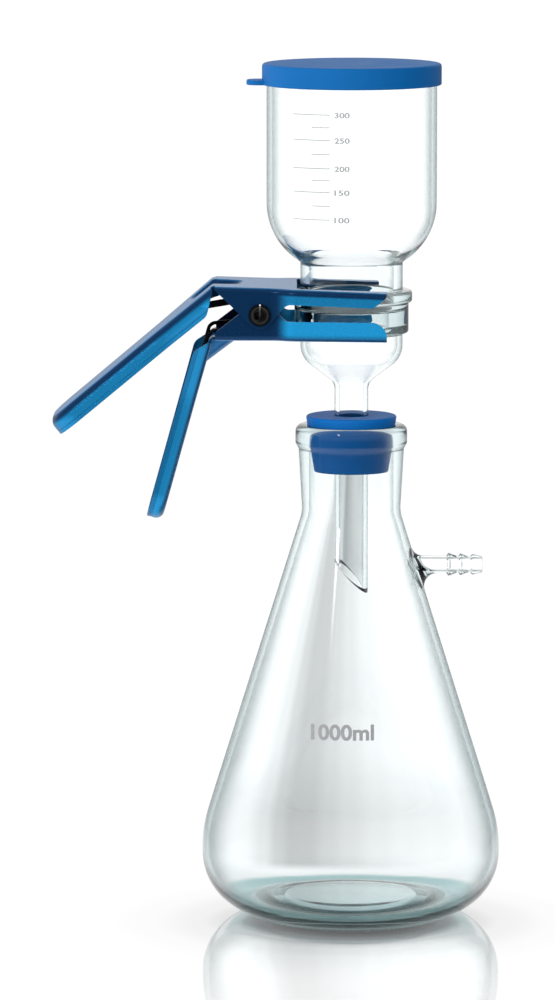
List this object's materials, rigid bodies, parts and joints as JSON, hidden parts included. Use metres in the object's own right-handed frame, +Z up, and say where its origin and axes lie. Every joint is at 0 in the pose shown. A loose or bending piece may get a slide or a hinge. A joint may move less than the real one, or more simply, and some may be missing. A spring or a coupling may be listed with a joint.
{
  "type": "vacuum filtration unit",
  "caption": "Glass funnel and fritted base held together by a spring clamp over a side-arm flask, with a rubber stopper and a soft lid, for filtering liquids under vacuum.",
  "frame": {"origin": "centre of the flask's foot ring, on the surface it stands on", "axes": "+Z up along the glass, +X along the flask's side arm, the clamp's handles towards -X"},
  "size_m": [0.2031, 0.1356, 0.3876],
  "materials": {
    "clear_glass": "gloss",
    "blue_rubber": "satin",
    "sintered_glass": "matte",
    "blue_anodised_sheet": "satin",
    "black_steel": "satin"
  },
  "bodies": {
    "glassware": {"flask": "clear_glass", "stopper": "blue_rubber", "filter_base": "clear_glass", "fritted_disc": "sintered_glass", "funnel": "clear_glass", "upper_jaw": "blue_anodised_sheet", "hinge_pin": "black_steel", "clamp_spring": "black_steel"},
    "lower_clamp_jaw": {"lower_jaw": "blue_anodised_sheet"},
    "cap": {"lid": "blue_rubber"}
  },
  "joints": [
    {"name": "clamp_open", "type": "hinge", "parent": "glassware", "child": "lower_clamp_jaw", "pos_m": [-0.0414, 0, 0.27625], "axis": [0, 1, 0], "range_deg": [0, 16], "stiffness_Nm_per_rad": 2, "springref_deg": -28.65, "deforming": ["clamp_spring"]},
    {"name": "lid_lift", "type": "slide", "parent": "glassware", "child": "cap", "axis": [0, 0, 1], "range_m": [0, 0.04]}
  ]
}
